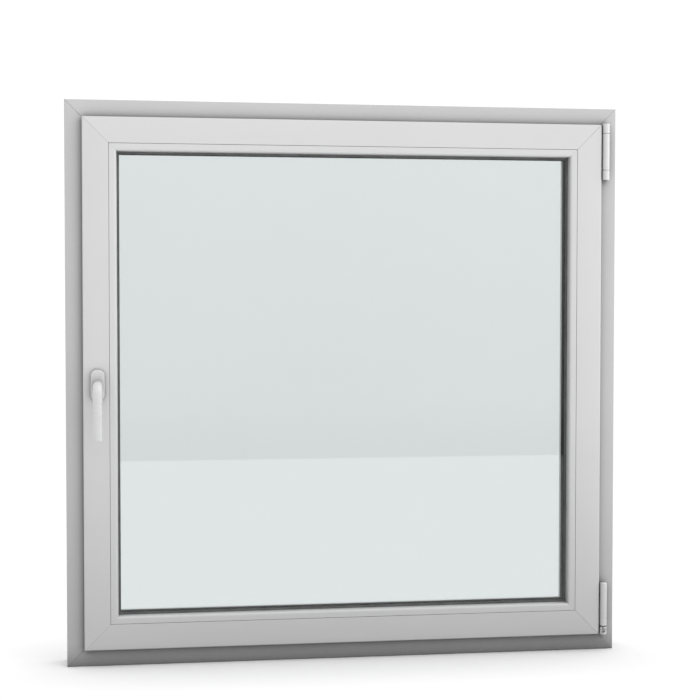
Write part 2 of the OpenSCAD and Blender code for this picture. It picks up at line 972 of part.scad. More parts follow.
// Leaf from inner_x to the barrel, flat against the frame side of the axis
module leaf(z0, z1, inner_x) {
    root_l = knuckle_r - pin_r;
    at_axis(z0) {
        translate([-knuckle_r, 0, 0])
            cube([root_l, leaf_y + leaf_t - axis_y, z1 - z0]);
        translate([inner_x - axis_x, leaf_y - axis_y, 0])
            cube([axis_x - inner_x - pin_r, leaf_t, z1 - z0]);
    }
}

module knuckle(z0, z1) {
    at_axis(z0)
        cylinder(r = knuckle_r, h = z1 - z0);
}

module pin_bore(z0, z1) {
    at_axis(z0)
        cylinder(r = pin_r + run, h = z1 - z0);
}

band_w = 14;
band_t = 2.5;
band_leg = 150;

module corner_hinge_screws_at() {
    for (z = [groove_u + 45, groove_u + 120])
        translate([groove_x + band_t - leaf_head_t, groove_y - 6, z])
            rotate([0, 90, 0])
                children();
}

module corner_hinge() {
    barrel_top = corner_barrel_z + corner_barrel_h - cover_wall - 0.2;
    color("silver")
        difference() {
            union() {
                knuckle(corner_barrel_z + 0.2, barrel_top);
                leaf(groove_u + 1, barrel_top, groove_x);
                translate([groove_x, leaf_y, groove_u - band_t])
                    cube([band_t, groove_y + band_w / 2 - leaf_y - 5, band_leg + band_t]);
                translate([groove_x - corner_band_l, leaf_y + 3, groove_u - band_t])
                    cube([corner_band_l, band_w, band_t]);
            }
            corner_hinge_screws_at()
                screw_hole(hinge_screw_r + 0.2, band_t, leaf_head_r, leaf_head_t);
            pin_bore(0, barrel_top - cover_wall);
        }
}

module corner_hinge_screws() {
    color("gray")
        corner_hinge_screws_at()
            screw(hinge_screw_r, band_t - leaf_head_t, leaf_head_r, leaf_head_t);
}

// Plastic sleeve over a hinge barrel, open towards the leaf
module barrel_cover(z0, h, dome) {
    at_axis(z0)
        difference() {
            union() {
                cylinder(r = hinge_r, h = h - (dome ? hinge_r / 2 : 0));
                if (dome)
                    translate([0, 0, h - hinge_r / 2])
                        rotate_extrude()
                            intersection() {
                                translate([hinge_r / 2, 0])
                                    circle(r = hinge_r / 2);
                                square([hinge_r, hinge_r]);
                            }
                if (dome)
                    translate([0, 0, h - hinge_r / 2])
                        cylinder(r = hinge_r / 2, h = hinge_r / 2);
            }
            translate([0, 0, -1])
                cylinder(r = knuckle_r + 0.1, h = h + 2 - (dome ? cover_wall + 1.5 : 0));
            translate([-hinge_r - 1, 1, -1])
                cube([2 * hinge_r + 2, hinge_r + 1, h + 2]);
        }
}

module corner_hinge_cover() {
    color("whitesmoke") barrel_cover(corner_barrel_z, corner_barrel_h + 4, true);
}

module stay_arm_cover() {
    color("whitesmoke") barrel_cover(stay_barrel_z, stay_barrel_h, false);
}

// ---------- Stay: pin, arm and slider ----------

slider_neck_r = 2.6;

module stay_pin() {
    color("silver")
        at_axis(stay_base_z + cover_wall + 0.5)
            cylinder(r = pin_r, h = stay_top_z - stay_base_z - 2 * cover_wall - 1);
}

module stay_arm() {
    // The swinging arm's leaf and neck stop short of the sash's edge
    neck_x = groove_x + 3;
    neck_w = arm_root_x - neck_x;
    barrel_top = stay_barrel_z + stay_barrel_h - 0.2;
    color("silver")
        difference() {
            union() {
                knuckle(stay_barrel_z + 0.2, barrel_top);
                leaf(stay_barrel_z + 0.2, barrel_top, neck_x);
                // Neck that carries the leaf up to the arm, through the seal gap
                translate([neck_x, leaf_y, barrel_top - 1])
                    cube([neck_w, leaf_t, arm_z + arm_t - barrel_top + 1]);
                translate([neck_x, leaf_y, arm_z])
                    cube([neck_w, groove_y + arm_w / 2 - leaf_y, arm_t]);
                translate([slider_x, groove_y - arm_w / 2, arm_z])
                    cube([arm_root_x - slider_x, arm_w, arm_t]);
                translate([slider_x, groove_y, arm_z])
                    cylinder(d = arm_w, h = arm_t);
            }
            pin_bore(stay_barrel_z - 1, stay_barrel_z + stay_barrel_h + 1);
            translate([slider_x, groove_y, arm_z - 1])
                cylinder(r = slider_neck_r, h = arm_t + 2);
        }
}

module stay_slider() {
    color("gray")
        translate([slider_x, groove_y, 0]) {
            translate([0, 0, arm_z - 9])
                cylinder(r = 3, h = 9);
            translate([0, 0, arm_z])
                cylinder(r = slider_neck_r, h = arm_t + 0.6);
        }
}

// ---------- Handle ----------

collar_r = 9;
rosette_wall = 1.6;
base_t = rosette_t - rosette_wall - 2.4;

// Outline with half-round ends, standing off the sash face between two depths
module rosette_solid(w, h, y0, y1) {
    for (z = [-1, 1])
        translate([0, y1, z * (h - w) / 2])
            rotate([90, 0, 0])
                cylinder(d = w, h = y1 - y0);
    translate([-w / 2, y0, -(h - w) / 2])
        cube([w, y1 - y0, h - w]);
}

module at_rosette_screws() {
    for (z = [-1, 1])
        translate([0, sash_room_y, z * rosette_screw_pitch / 2])
            rotate([90, 0, 0])
                children();
}

module handle_base() {
    inner_w = rosette_w - 2 * rosette_wall - 0.4;
    color("gray")
        at_spindle()
            difference() {
                rosette_solid(inner_w, rosette_h - 2 * rosette_wall - 0.4, sash_room_y - base_t, sash_room_y);
                translate([0, sash_room_y + 1, 0])
                    rotate([90, 0, 0])
                        cylinder(r = collar_r + run, h = base_t + 2);
                at_rosette_screws()
                    cylinder(r = handle_screw_r + 0.1, h = 20, center = true);
                at_rosette_screws()
                    translate([0, 0, base_t - handle_head_t])
                        cylinder(r = handle_head_r + 0.1, h = 5);
            }
}

module handle_screws() {
    shank = base_t - handle_head_t + groove_y + case_w / 2 - sash_room_y - 0.4;
    color("silver")
        at_spindle()
            at_rosette_screws() {
                translate([0, 0, base_t - handle_head_t])
                    cylinder(r = handle_head_r, h = handle_head_t - 0.1);
                translate([0, 0, base_t - handle_head_t - shank])
                    cylinder(r = handle_screw_r, h = shank);
            }
}

module handle_rosette() {
    edge = 2;
    color("whitesmoke")
        at_spindle()
            difference() {
                union() {
                    rosette_solid(rosette_w, rosette_h, sash_room_y - rosette_t + edge, sash_room_y);
                    rosette_solid(rosette_w - edge, rosette_h - edge, sash_room_y - rosette_t, sash_room_y - 1);
                }
                rosette_solid(rosette_w - 2 * rosette_wall, rosette_h - 2 * rosette_wall,
                              sash_room_y - rosette_t + rosette_wall, sash_room_y + 1);
                translate([0, sash_room_y, 0])
                    rotate([90, 0, 0])
                        cylinder(r = collar_r + run, h = 40);
            }
}

module handle_detent() {
    color("silver")
        at_spindle()
            translate([0, sash_room_y - base_t, 0])
                rotate([90, 0, 0])
                    difference() {
                        cylinder(r = collar_r + 2.5, h = 1.2);
                        translate([0, 0, -1])
                            cylinder(r = collar_r + 0.3, h = 4);
                    }
}

// Grip section, rounded all round, centred on the grip's line
module grip_section() {
    r = grip_t / 2 - 0.5;
    hull() {
        for (x = [-1, 1])
            translate([x * (grip_w / 2 - r), 0])
                scale([1, grip_t / (2 * r)])
                    circle(r = r, $fn = 32);
    }
}

module handle_lever() {
    bend_r = 12;
    grip_y = sash_room_y - handle_reach + grip_t / 2;
    neck_end_y = grip_y + bend_r;
    color("whitesmoke")
        at_spindle()
            difference() {
                union() {
                    translate([0, sash_room_y - 0.5, 0])
                        rotate([90, 0, 0])
                            cylinder(r = collar_r, h = sash_room_y - 0.5 - neck_end_y);
                    // Bend from the neck into the grip
                    translate([0, neck_end_y, -bend_r])
                        rotate([0, 90, 0])
                            rotate([0, 0, 180])
                                rotate_extrude(angle = 90)
                                    translate([bend_r, 0])
                                        rotate(90)
                                            grip_section();
                    translate([0, grip_y, -lever_len])
                        linear_extrude(lever_len - bend_r)
                            grip_section();
                }
                translate([-spindle_w / 2 - run, sash_room_y - 25, -spindle_w / 2 - run])
                    cube([spindle_w + 2 * run, 30, spindle_w + 2 * run]);
            }
}

module handle_spindle() {
    back_y = groove_y + case_w / 2;
    color("gray")
        at_spindle()
            translate([-spindle_w / 2, sash_room_y - 24, -spindle_w / 2])
                cube([spindle_w, back_y - sash_room_y + 24, spindle_w]);
}

frame_sill();
frame_head();
frame_jamb_left();
frame_jamb_right();
frame_steel();
frame_gasket();
drain_caps();
strikers();
tilt_keeper();
striker_screws();
stay_bearing();
stay_bearing_caps();
bearing_screws();
pivot_bearing();
pivot_post();
sash_bottom();
sash_top();
sash_left();
sash_right();
sash_steel();
sash_gasket();
bead_bottom();
bead_top();
bead_left();
bead_right();
glazing_gasket_inner();
glazing_gasket_outer();
glass_inner();
glass_outer();
edge_seal();
spacer_bar();
setting_blocks();
faceplate_lock();
faceplate_top();
faceplate_bottom();
corner_drives();
drive_rod_lock();
lock_side_cams();
drive_rod_top();
top_cam();
drive_rod_bottom();
bottom_cam();
gear_case();
gear_pinion();
stay_guide();
corner_hinge();
corner_hinge_screws();
corner_hinge_cover();
stay_pin();
stay_arm();
stay_arm_cover();
stay_slider();
handle_base();
handle_rosette();
handle_screws();
handle_detent();
handle_lever();
handle_spindle();
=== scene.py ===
"""Tilt-and-turn window: looks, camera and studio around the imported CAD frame.

Axes: +Z up, -Y towards the room, hinges on +X. Everything is in metres.
"""
import json
import math

import bpy
from mathutils import Matrix, Vector


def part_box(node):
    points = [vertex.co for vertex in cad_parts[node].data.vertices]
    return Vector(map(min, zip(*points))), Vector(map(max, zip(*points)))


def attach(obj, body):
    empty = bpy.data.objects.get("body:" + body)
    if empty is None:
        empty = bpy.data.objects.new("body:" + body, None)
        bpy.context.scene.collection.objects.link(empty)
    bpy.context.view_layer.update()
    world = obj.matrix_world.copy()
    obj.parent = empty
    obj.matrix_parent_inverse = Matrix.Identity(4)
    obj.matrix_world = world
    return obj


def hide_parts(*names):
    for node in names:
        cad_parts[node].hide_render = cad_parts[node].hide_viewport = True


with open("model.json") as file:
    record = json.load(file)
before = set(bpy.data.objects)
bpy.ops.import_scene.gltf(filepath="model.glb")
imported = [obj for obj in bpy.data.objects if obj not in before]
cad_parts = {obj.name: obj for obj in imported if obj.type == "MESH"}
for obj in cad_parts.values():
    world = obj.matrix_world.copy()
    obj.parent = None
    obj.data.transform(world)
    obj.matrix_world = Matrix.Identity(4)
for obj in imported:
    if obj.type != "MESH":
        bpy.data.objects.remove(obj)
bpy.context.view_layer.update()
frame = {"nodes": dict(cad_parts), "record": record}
scene = bpy.context.scene
MM = 0.001


# ---------- Node helpers ----------

def new_material(name):
    """A material with a node tree and its Principled shader."""
    material = bpy.data.materials.new(name)
    material.use_nodes = True
    nodes, links = material.node_tree.nodes, material.node_tree.links
    return material, nodes, links, nodes["Principled BSDF"]


def noise(nodes, links, scale, detail=3.0, roughness=0.5, stretch=(1, 1, 1)):
    """Noise in object coordinates, so it's fixed to the piece."""
    place = nodes.new("ShaderNodeTexCoord")
    mapping = nodes.new("ShaderNodeMapping")
    mapping.inputs["Scale"].default_value = stretch
    texture = nodes.new("ShaderNodeTexNoise")
    texture.inputs["Scale"].default_value = scale
    texture.inputs["Detail"].default_value = detail
    texture.inputs["Roughness"].default_value = roughness
    links.new(place.outputs["Object"], mapping.inputs["Vector"])
    links.new(mapping.outputs["Vector"], texture.inputs["Vector"])
    return texture.outputs["Fac"]


def remap(nodes, links, source, low, high):
    """The source's middle range mapped to low..high."""
    node = nodes.new("ShaderNodeMapRange")
    node.inputs["From Min"].default_value = 0.3
    node.inputs["From Max"].default_value = 0.7
    node.inputs["To Min"].default_value = low
    node.inputs["To Max"].default_value = high
    links.new(source, node.inputs["Value"])
    return node.outputs["Result"]


def tint(nodes, links, source, dark, light):
    """The source's range as a colour between two shades."""
    node = nodes.new("ShaderNodeMix")
    node.data_type = "RGBA"
    node.inputs["A"].default_value = (*dark, 1)
    node.inputs["B"].default_value = (*light, 1)
    links.new(source, node.inputs["Factor"])
    return node.outputs["Result"]


def bump(nodes, links, shader, height, distance, strength):
    """Fine relief on the shader's normal, at most distance deep, in metres."""
    node = nodes.new("ShaderNodeBump")
    node.inputs["Distance"].default_value = distance
    node.inputs["Strength"].default_value = strength
    links.new(height, node.inputs["Height"])
    links.new(node.outputs["Normal"], shader.inputs["Normal"])


def painted_corner_shade(nodes, links, colour, reach, share):
    """The colour, darker by up to share where surfaces nearly meet within reach: painted shade in corners,
    joints and between parts.
    """
    # Ambient occlusion darkens the colour here: painted shade where parts meet.
    corner = nodes.new("ShaderNodeAmbientOcclusion")
    corner.inputs["Distance"].default_value = reach
    corner.samples = 8
    open_share = nodes.new("ShaderNodeMapRange")
    open_share.inputs["From Min"].default_value = 0.15
    open_share.inputs["From Max"].default_value = 0.95
    open_share.inputs["To Min"].default_value = 1 - share
    open_share.inputs["To Max"].default_value = 1
    links.new(corner.outputs["AO"], open_share.inputs["Value"])
    mix = nodes.new("ShaderNodeMix")
    mix.data_type = "RGBA"
    mix.blend_type = "MULTIPLY"
    mix.inputs["Factor"].default_value = 1
    links.new(colour, mix.inputs["A"])
    links.new(open_share.outputs["Result"], mix.inputs["B"])
    return mix.outputs["Result"]


# ---------- Materials ----------

def moulded(name, shade, roughness, grain=900, tone=0.012, coat=0.0, painted_shade_share=0.8):
    """Moulded plastic or lacquer: faint tone drift, fine skin grain, uneven gloss and painted shade where
    surfaces nearly meet.
    """
    material, nodes, links, shader = new_material(name)
    drift = remap(nodes, links, noise(nodes, links, 7, 4), 0, 1)
    colour = tint(nodes, links, drift, tuple(c - tone for c in shade), tuple(c + tone for c in shade))
    # The base colour carries painted shade where surfaces nearly meet.
    links.new(painted_corner_shade(nodes, links, colour, 0.025, painted_shade_share), shader.inputs["Base Color"])
    gloss = remap(nodes, links, noise(nodes, links, 60, 5), roughness - 0.04, roughness + 0.05)
    links.new(gloss, shader.inputs["Roughness"])
    bump(nodes, links, shader, noise(nodes, links, grain, 2), 0.00001, 0.5)
    shader.inputs["Specular IOR Level"].default_value = 0.5
    shader.inputs["Coat Weight"].default_value = coat
    shader.inputs["Coat Roughness"].default_value = 0.15
    return material


def extruded(name, shade, roughness, painted_shade_reach, painted_shade_share):
    """White window profile: faint tone drift, fine skin relief, uneven gloss and painted shade where surfaces
    nearly meet.
    """
    material, nodes, links, shader = new_material(name)
    drift = remap(nodes, links, noise(nodes, links, 5, 4), 0, 1)
    colour = tint(nodes, links, drift, tuple(c - 0.01 for c in shade), tuple(c + 0.008 for c in shade))
    # The base colour carries painted shade where surfaces nearly meet.
    links.new(painted_corner_shade(nodes, links, colour, painted_shade_reach, painted_shade_share), shader.inputs["Base Color"])
    gloss = remap(nodes, links, noise(nodes, links, 40, 5), roughness - 0.03, roughness + 0.05)
    links.new(gloss, shader.inputs["Roughness"])
    bump(nodes, links, shader, noise(nodes, links, 700, 3), 0.000008, 0.5)
    shader.inputs["Specular IOR Level"].default_value = 0.5
    return material


def soft_rubber(name, shade):
    """Dull seal rubber, mottled and finely pitted."""
    material, nodes, links, shader = new_material(name)
    mottle = remap(nodes, links, noise(nodes, links, 30, 4), 0, 1)
    colour = tint(nodes, links, mottle, tuple(c * 0.8 for c in shade), tuple(c * 1.25 for c in shade))
    links.new(colour, shader.inputs["Base Color"])
    links.new(remap(nodes, links, noise(nodes, links, 200, 3), 0.55, 0.7), shader.inputs["Roughness"])
    bump(nodes, links, shader, noise(nodes, links, 1500, 2), 0.00002, 0.6)
    return material


def plated(name, shade, roughness, stretch=(1, 1, 1)):
    """Plated steel: drawn streaks, cloudy passivation and uneven gloss."""
    material, nodes, links, shader = new_material(name)
    cloud = remap(nodes, links, noise(nodes, links, 45, 6, 0.6), 0, 1)
    links.new(tint(nodes, links, cloud, tuple(c * 0.85 for c in shade), shade), shader.inputs["Base Color"])
    streaks = noise(nodes, links, 400, 4, 0.6, stretch)
    links.new(remap(nodes, links, streaks, roughness - 0.08, roughness + 0.1), shader.inputs["Roughness"])
    bump(nodes, links, shader, streaks, 0.00002, 0.4)
    shader.inputs["Metallic"].default_value = 1
    return material


def spangled(name, shade):
    """Hot-dip galvanising, with its crystal pattern."""
    material, nodes, links, shader = new_material(name)
    place = nodes.new("ShaderNodeTexCoord")
    cells = nodes.new("ShaderNodeTexVoronoi")
    cells.inputs["Scale"].default_value = 90
    links.new(place.outputs["Object"], cells.inputs["Vector"])
    split = nodes.new("ShaderNodeSeparateColor")
    links.new(cells.outputs["Color"], split.inputs["Color"])
    colour = tint(nodes, links, split.outputs["Red"], tuple(c * 0.8 for c in shade), shade)
    links.new(colour, shader.inputs["Base Color"])
    links.new(remap(nodes, links, split.outputs["Green"], 0.35, 0.5), shader.inputs["Roughness"])
    shader.inputs["Metallic"].default_value = 1
    return material


def window_glass(name):
    """Clear float glass, very slightly green-grey, with the faintest roller wave."""
    material, nodes, links, shader = new_material(name)
    wave = noise(nodes, links, 2.2, 1)
    colour = tint(nodes, links, wave, (0.830, 0.858, 0.858), (0.840, 0.868, 0.868))
    links.new(colour, shader.inputs["Base Color"])
    shader.inputs["Transmission Weight"].default_value = 1
    shader.inputs["Roughness"].default_value = 0
    shader.inputs["IOR"].default_value = 1.5
    return material


def grey(shade):
    """Neutral colour of one shade."""
    return (shade, shade, shade)


MATERIALS = {
    # The frame is the same white uPVC as the sash, given a darker shade and a near full share: painted shade on
    # the frame, which lies back in the sash's shade.
    "frame_upvc": extruded("frame_upvc", grey(0.605), 0.36, 0.055, 0.97),
    "sash_upvc": extruded("sash_upvc", grey(0.72), 0.34, 0.05, 0.55),
    "bead_upvc": extruded("bead_upvc", grey(0.72), 0.36, 0.03, 0.5),
    "seal": soft_rubber("seal_rubber", (0.10, 0.103, 0.103)),
    "galvanised_steel": spangled("galvanised_steel", (0.60, 0.61, 0.62)),
    "zinc_plate": plated("zinc_plate", (0.66, 0.66, 0.67), 0.34, (1, 1, 0.05)),
    "steel": plated("plain_steel", (0.58, 0.58, 0.59), 0.3),
    "hinge_cover": moulded("hinge_cover", grey(0.76), 0.28, grain=1400, coat=0.2, painted_shade_share=0.95),
    "handle_lacquer": moulded("handle_lacquer", grey(0.76), 0.26, grain=1800, coat=0.3),
    # A darker copy of the handle's lacquer with the full share: painted shade on the rosette round the neck.
    "rosette_painted_shade_lacquer": moulded("rosette_painted_shade_lacquer", grey(0.72), 0.26, grain=1800, coat=0.3, painted_shade_share=1.0),
    "base_plastic": moulded("base_plastic", (0.16, 0.16, 0.165), 0.5, tone=0.02),
    "glass": window_glass("window_glass"),
    "spacer": plated("spacer_bar", (0.72, 0.73, 0.74), 0.32, (0.1, 1, 1)),
    "block_plastic": moulded("block_plastic", (0.06, 0.16, 0.38), 0.45, tone=0.015),
}
SLOTS = {part["node"]: part["material_slot"] for part in frame["record"]["subparts"]}


# ---------- Carried-over CAD nodes ----------

# Widths of the rounded edges in mm, wide enough on the rails for their mitres to show as fine grooves
SEAM_BEVEL = 0.7
SMALL_BEVEL = 0.15
BEVELS = {"frame_upvc": SEAM_BEVEL, "sash_upvc": SEAM_BEVEL, "bead_upvc": 0.4, "hinge_cover": 0.7,
          "seal": 0.3, "glass": 0.2}
# Rails with small holes in their faces, where a wide bevel would tear the face
HOLED_RAILS = ("sash_left", "frame_jamb_right")


def round_edges(piece, width, clamp):
    """Welds the node's split corners and rounds every hard edge by width, in metres."""
    if "custom_normal" in piece.data.attributes:
        piece.data.attributes.remove(piece.data.attributes["custom_normal"])
    piece.data.shade_smooth()
    weld = piece.modifiers.new("weld", "WELD")
    weld.merge_threshold = 0.00001
    edge = piece.modifiers.new("edges", "BEVEL")
    edge.width = width
    edge.segments = 2
    edge.limit_method = "ANGLE"
    edge.angle_limit = math.radians(32)
    edge.harden_normals = True
    edge.use_clamp_overlap = clamp


for node_name, cad_piece in frame["nodes"].items():
    slot = SLOTS[node_name]
    cad_piece.data.materials.clear()
    cad_piece.data.materials.append(MATERIALS[slot])
    bevel = BEVELS.get(slot, SMALL_BEVEL)
    round_edges(cad_piece, bevel * MM, bevel < SEAM_BEVEL or node_name in HOLED_RAILS)


# ---------- Mesh helpers ----------

def skin_rings(name, rings, slot, body, replaces=(), levels=2, material=None):
    """Closed subdivided piece from rings of equal length, with one face over each end."""
    count = len(rings[0])
    points = [p for ring in rings for p in ring]
    faces = []
    for r in range(len(rings) - 1):
        for i in range(count):
            j = (i + 1) % count
            faces.append((r * count + i, r * count + j, (r + 1) * count + j, (r + 1) * count + i))
    faces.append(tuple(reversed(range(count))))
    faces.append(tuple((len(rings) - 1) * count + i for i in range(count)))
    mesh = bpy.data.meshes.new(name)
    mesh.from_pydata([tuple(p) for p in points], [], faces)
    mesh.validate()
    mesh.shade_smooth()
    piece = bpy.data.objects.new(name, mesh)
    scene.collection.objects.link(piece)
    piece.data.materials.append(MATERIALS[material or slot])
    subdivide = piece.modifiers.new("smooth", "SUBSURF")
    subdivide.levels = levels
    subdivide.render_levels = levels
    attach(piece, body)
    if replaces:
        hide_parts(*replaces)


def around(count, offset=0.0):
    """Cosine and sine at count even steps round a circle."""
    angles = (2 * math.pi * (i + offset) / count for i in range(count))
    return [(math.cos(a), math.sin(a)) for a in angles]


def superellipse(width, thickness, power):
    """Outline in (across, through), counter-clockwise, with softer corners at a lower power."""
    outline = []
    for c, s in around(28):
        outline.append((width / 2 * math.copysign(abs(c) ** (2 / power), c),
                        thickness / 2 * math.copysign(abs(s) ** (2 / power), s)))
    return outline


def rounded_plate(width, height, radius):
    """Upright rectangle with rounded corners, in (x, z)."""
    outline = []
    for c, s in around(48, 0.5):
        outline.append((radius * c + math.copysign(width / 2 - radius, c),
                        radius * s + math.copysign(height / 2 - radius, s)))
    return outline


# ---------- Handle ----------

spindle_low, spindle_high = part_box("handle_spindle")
lever_low, lever_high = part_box("handle_lever")
rosette_low, rosette_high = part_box("handle_rosette")
handle_x = (spindle_low.x + spindle_high.x) / 2
handle_z = (spindle_low.z + spindle_high.z) / 2
sash_face = rosette_high.y
rosette_face = rosette_low.y

LEVER_BEND = 15 * MM
LEVER_ROOT = rosette_face + 1.5 * MM
# From the CAD box's front to the grip's middle line, so the thicker bend stays inside the box
GRIP_INSET = 7.6 * MM
# Width and thickness
ROOT_SIZE = (19 * MM, 18 * MM)
NECK_SIZE = (20.4 * MM, 18.4 * MM)
GRIP_SIZE = (19.6 * MM, 12.6 * MM)
TIP_PULL = 2.2 * MM
GRIP_CROWN = 0.9 * MM
# Places of the rings from the collar (0) to the tip (1)
LEVER_STOPS = [0, 0.03, 0.1, 0.16, 0.2, 0.24, 0.28, 0.32, 0.36, 0.4, 0.45, 0.5, 0.56, 0.64, 0.74, 0.84,
               0.93, 0.98, 0.993, 1.0]


def lever_path(t):
    """Place along the lever's line and the direction there, from the collar (0) to the tip (1)."""
    grip_y = lever_low.y + GRIP_INSET
    bend_start = grip_y + LEVER_BEND
    neck = LEVER_ROOT - bend_start
    arc = LEVER_BEND * math.pi / 2
    grip = handle_z - LEVER_BEND - lever_low.z
    s = t * (neck + arc + grip)
    if s <= neck:
        return Vector((handle_x, LEVER_ROOT - s, handle_z)), Vector((0, -1, 0))
    if s <= neck + arc:
        a = (s - neck) / LEVER_BEND
        forward, drop = LEVER_BEND * math.sin(a), LEVER_BEND * (1 - math.cos(a))
        return (Vector((handle_x, bend_start - forward, handle_z - drop)),
                Vector((0, -math.cos(a), -math.sin(a))))
    down = s - neck - arc
    return Vector((handle_x, grip_y, handle_z - LEVER_BEND - down)), Vector((0, 0, -1))


def lever_rings():
    """Round neck that turns into a flat, crowned grip with a soft square tip."""
    right = Vector((1, 0, 0))
    rings = []
    for t in LEVER_STOPS:
        centre, forward = lever_path(t)
        blend = min(1, max(0, (t - 0.1) / 0.46))
        blend = blend * blend * (3 - 2 * blend)
        width, thickness = (neck + (grip - neck) * blend for neck, grip in zip(NECK_SIZE, GRIP_SIZE))
        if t == 0:
            width, thickness = ROOT_SIZE
        if t == 1:
            width, thickness = width - TIP_PULL, thickness - TIP_PULL
        out = right.cross(forward).normalized()
        ring = []
        for across, through in superellipse(width, thickness, 2 + 0.45 * blend):
            # The front's crown is a little to the right of the middle
            crown = GRIP_CROWN * blend * (across / (width / 2) - 0.25) ** 2 if through < 0 else 0
            ring.append(centre + right * across - out * (through + crown))
        rings.append(ring)
    return rings


# Share of the depth by which the rosette's outline has pulled in, and how far out it is there
ROSETTE_STEPS = [(0, 0), (0.02, 0.15), (0.05, 0.6), (0.10, 0.78), (0.22, 0.9), (0.5, 0.955), (1.1, 0.985),
                 (2.4, 1.0)]
ROSETTE_CORNER = 13.2 * MM


def rosette_rings():
    """Upright oval cover with a small foot, steep sides and a crowned front."""
    width = rosette_high.x - rosette_low.x
    height = rosette_high.z - rosette_low.z
    depth = sash_face - rosette_face
    middle_z = (rosette_high.z + rosette_low.z) / 2
    rings = []
    for draw, out in ROSETTE_STEPS:
        pull = draw * depth
        outline = rounded_plate(width - pull, height - pull, ROSETTE_CORNER - pull / 2)
        rings.append([Vector((handle_x + x, sash_face - depth * out, middle_z + z)) for x, z in outline])
    return rings


# Radius of the turned collar where the neck leaves the rosette, and how far out it is there, in mm
COLLAR_STEPS = [(9.0, -1.0), (9.3, -0.6), (10.6, 0.0), (10.6, 0.5), (10.1, 0.8), (9.2, 0.9), (8.6, 0.9)]


def collar_rings():
    """Rings of the collar, along the spindle's line."""
    return [[Vector((handle_x + radius * MM * c, rosette_face - out * MM, handle_z + radius * MM * s))
             for c, s in around(32)] for radius, out in COLLAR_STEPS]


skin_rings("lever_shell", lever_rings(), "handle_lacquer", "handle", ["handle_lever"])
skin_rings("rosette_cover", rosette_rings(), "handle_lacquer", "sash", ["handle_rosette"],
           material="rosette_painted_shade_lacquer")
skin_rings("neck_collar", collar_rings(), "handle_lacquer", "handle")


# ---------- Adjusting slot of the lower hinge bracket, as a dark strip of painted shade ---

SLOT_HALF_WIDTH = 0.65 * MM
SLOT_HOOK = 2.1 * MM


def slot_rings():
    """Rings of a dark J-shaped strip on the round front of the bracket: painted shade where the slot's hollow
    is.
    """
    low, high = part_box("pivot_bearing")
    radius = (high.x - low.x) / 2
    middle_x = (low.x + high.x) / 2
    axis_y = low.y + radius
    stem_top = high.z - 1.6 * MM
    hook_z = high.z - 7.4 * MM
    line = [(SLOT_HOOK, stem_top), (SLOT_HOOK, (stem_top + hook_z) / 2)]
    for a in (math.pi * k / 8 for k in range(8)):
        line.append((SLOT_HOOK * math.cos(a), hook_z - SLOT_HOOK * math.sin(a)))
    line += [(-SLOT_HOOK, hook_z), (-SLOT_HOOK, hook_z + 1.2 * MM)]
    rings = []
    for k, (x, z) in enumerate(line):
        before, after = line[max(k - 1, 0)], line[min(k + 1, len(line) - 1)]
        along = Vector((after[0] - before[0], after[1] - before[1])).normalized()
        ring = []
        for side, out in ((-1, -0.3), (1, -0.3), (1, 0.12), (-1, 0.12)):
            across = x - side * SLOT_HALF_WIDTH * along.y
            front = axis_y - math.sqrt(radius ** 2 - across ** 2) - out * MM
            ring.append(Vector((middle_x + across, front, z + side * SLOT_HALF_WIDTH * along.x)))
        rings.append(ring)
    return rings


# A thin dark strip of seal rubber on the bracket's face: painted shade for the slot.
skin_rings("bracket_slot_painted_shade", slot_rings(), "seal", "frame", levels=1)


# ---------- Studio ----------

FLOOR_SHADE = 0.95
FLOOR_GLOW = 0.04
FLOOR_BOUNCE = 0.3
# The glass reflects the floor's near edge as a step
FLOOR_NEAR = -4.1
FLOOR_FAR = 30.0
FLOOR_SIDE = 22.0
# Half of the window's footprint, and how far outside it the floor turns as bright as the backdrop
FOOTPRINT = (0.6, 0.03, 0)
FLOOR_FADE = 0.36
SKY_BEHIND = 1.04
# Brightness in front of the window against the sine of the height above the horizon
SKY_FRONT = [(-1, 1.2), (-0.114, 1.2), (-0.112, 0.28), (-0.1, 0.28), (-0.067, 0.53), (0, 0.67),
             (0.06, 0.77), (0.15, 0.95), (0.4, 1.2), (1, 1.2)]
# Factors on it from straight ahead (-1) to the side (0), and from the left (-1) to the right (1)
SKY_RIM = [(-1, 1), (-0.95, 1), (-0.3, 1.65), (1, 1.65)]
SKY_ASIDE = [(-1, 0.5), (-0.15, 0.93), (0.15, 1.07), (1, 1.7)]


def floor_sheet(name, near, far, side, height, shade, glow):
    """Level matt sheet from near to far along Y."""
    mesh = bpy.data.meshes.new(name)
    mesh.from_pydata([(-side, near, height), (side, near, height), (side, far, height), (-side, far, height)],
                     [], [(0, 1, 2, 3)])
    sheet = bpy.data.objects.new(name, mesh)
    scene.collection.objects.link(sheet)
    material, nodes, links, shader = new_material(name + "_paint")
    shader.inputs["Base Color"].default_value = (shade, shade, shade, 1)
    shader.inputs["Roughness"].default_value = 0.9
    shader.inputs["Specular IOR Level"].default_value = 0.1
    shader.inputs["Emission Color"].default_value = (1, 1, 1, 1)
    shader.inputs["Emission Strength"].default_value = glow
    sheet.data.materials.append(material)
    return sheet, nodes, links, shader


